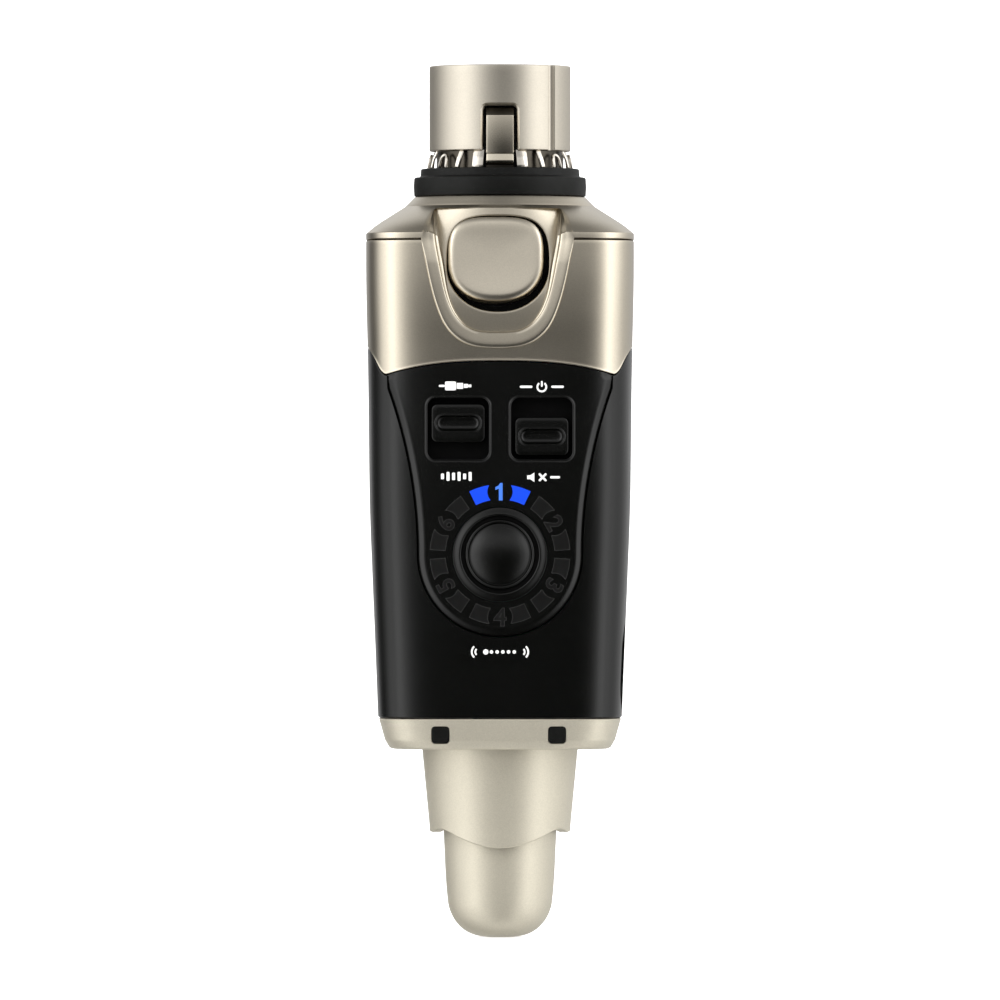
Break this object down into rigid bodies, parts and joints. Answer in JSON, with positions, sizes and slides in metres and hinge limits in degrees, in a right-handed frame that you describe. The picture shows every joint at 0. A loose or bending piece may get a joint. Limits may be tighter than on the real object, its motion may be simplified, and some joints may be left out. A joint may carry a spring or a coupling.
{
  "type": "plug-on wireless audio transmitter",
  "caption": "Plug-on wireless audio transmitter with an XLR female nose and sprung latch, slide switches, a numbered channel dial button and a rounded antenna stub.",
  "frame": {"origin": "centre of the front face of the three-pole contact insert, where the mating connector's insert meets it", "axes": "+Z out of the plug along the body, -Y out of the control panel, +X to the right seen from the front"},
  "size_m": [0.0302, 0.0302, 0.0987],
  "materials": {
    "satin_nickel": "satin nickel plating, warm",
    "polished_nickel": "polished nickel plating",
    "champagne_paint": "fine metallic champagne paint",
    "black_plastic": "fine satin texture",
    "gloss_black": "semi gloss",
    "black_rubber": "matte",
    "light_guide": "milky translucent",
    "contact_gold": "gold plating",
    "spring_steel": "plain",
    "circuit_board": "solder resist",
    "chip_black": "moulded",
    "cell_wrap": "shrink wrap",
    "lead_red": "wire insulation",
    "lead_black": "wire insulation",
    "ribbon_grey": "flat cable insulation",
    "led_blue": "clear lens"
  },
  "bodies": {
    "housing": {"connector_nose": "satin_nickel", "contact_insert": "black_plastic", "socket_contact_1": "contact_gold", "socket_contact_2": "contact_gold", "socket_contact_3": "contact_gold", "ground_crown": "polished_nickel", "gasket_ring": "black_rubber", "shoulder_cap": "satin_nickel", "upper_cover": "satin_nickel", "button_bezel": "satin_nickel", "latch_pivot_pin": "spring_steel", "latch_bracket": "black_plastic", "button_spring": "spring_steel", "front_shell": "black_plastic", "rear_cover": "black_plastic", "front_panel": "black_plastic", "input_switch_body": "spring_steel", "power_switch_body": "spring_steel", "channel_bezel": "gloss_black", "channel_light_guide": "light_guide", "tact_switch": "spring_steel", "main_board": "circuit_board", "contact_board": "circuit_board", "radio_shield": "spring_steel", "controller_chip": "chip_black", "converter_chip": "chip_black", "battery_cell": "cell_wrap", "battery_lead_red": "lead_red", "battery_lead_black": "lead_black", "signal_ribbon": "ribbon_grey", "antenna_coax": "lead_black", "antenna_board": "circuit_board", "usb_socket": "spring_steel", "usb_port_frame": "black_rubber", "bottom_collar": "champagne_paint", "collar_plug_1": "black_rubber", "collar_plug_2": "black_rubber", "collar_screw_1": "spring_steel", "collar_screw_2": "spring_steel", "antenna_sleeve": "champagne_paint", "antenna_cap": "champagne_paint", "channel_led_1": "led_blue", "channel_led_2": "led_blue", "channel_led_3": "led_blue", "channel_led_4": "led_blue", "channel_led_5": "led_blue", "channel_led_6": "led_blue", "rear_screw_1": "spring_steel", "rear_screw_2": "spring_steel", "rear_screw_3": "spring_steel", "rear_screw_4": "spring_steel"},
    "release_button": {"release_button": "satin_nickel"},
    "latch_lever": {"latch_lever": "polished_nickel"},
    "input_slider": {"input_switch_knob": "black_plastic", "input_switch_actuator": "chip_black"},
    "power_slider": {"power_switch_knob": "black_plastic", "power_switch_actuator": "chip_black"},
    "channel_button": {"channel_button": "black_plastic", "tact_plunger": "chip_black"}
  },
  "joints": [
    {"name": "release_button_press", "type": "slide", "parent": "housing", "child": "release_button", "axis": [0, 1, 0], "range_m": [0, 0.0008], "deforming": ["button_spring"]},
    {"name": "latch_lever_tilt", "type": "hinge", "parent": "housing", "child": "latch_lever", "pos_m": [0, -0.0096, -0.0338], "axis": [-1, 0, 0], "range_deg": [0, 4.2]},
    {"name": "input_switch_slide", "type": "slide", "parent": "housing", "child": "input_slider", "axis": [0, 0, 1], "range_m": [-0.0015, 0]},
    {"name": "power_switch_slide", "type": "slide", "parent": "housing", "child": "power_slider", "axis": [0, 0, 1], "range_m": [0, 0.0015]},
    {"name": "channel_button_press", "type": "slide", "parent": "housing", "child": "channel_button", "axis": [0, 1, 0], "range_m": [0, 0.00035]}
  ],
  "couplings": [
    {"joint": "latch_lever_tilt", "follows": "release_button_press", "rad_per_m": 84}
  ]
}
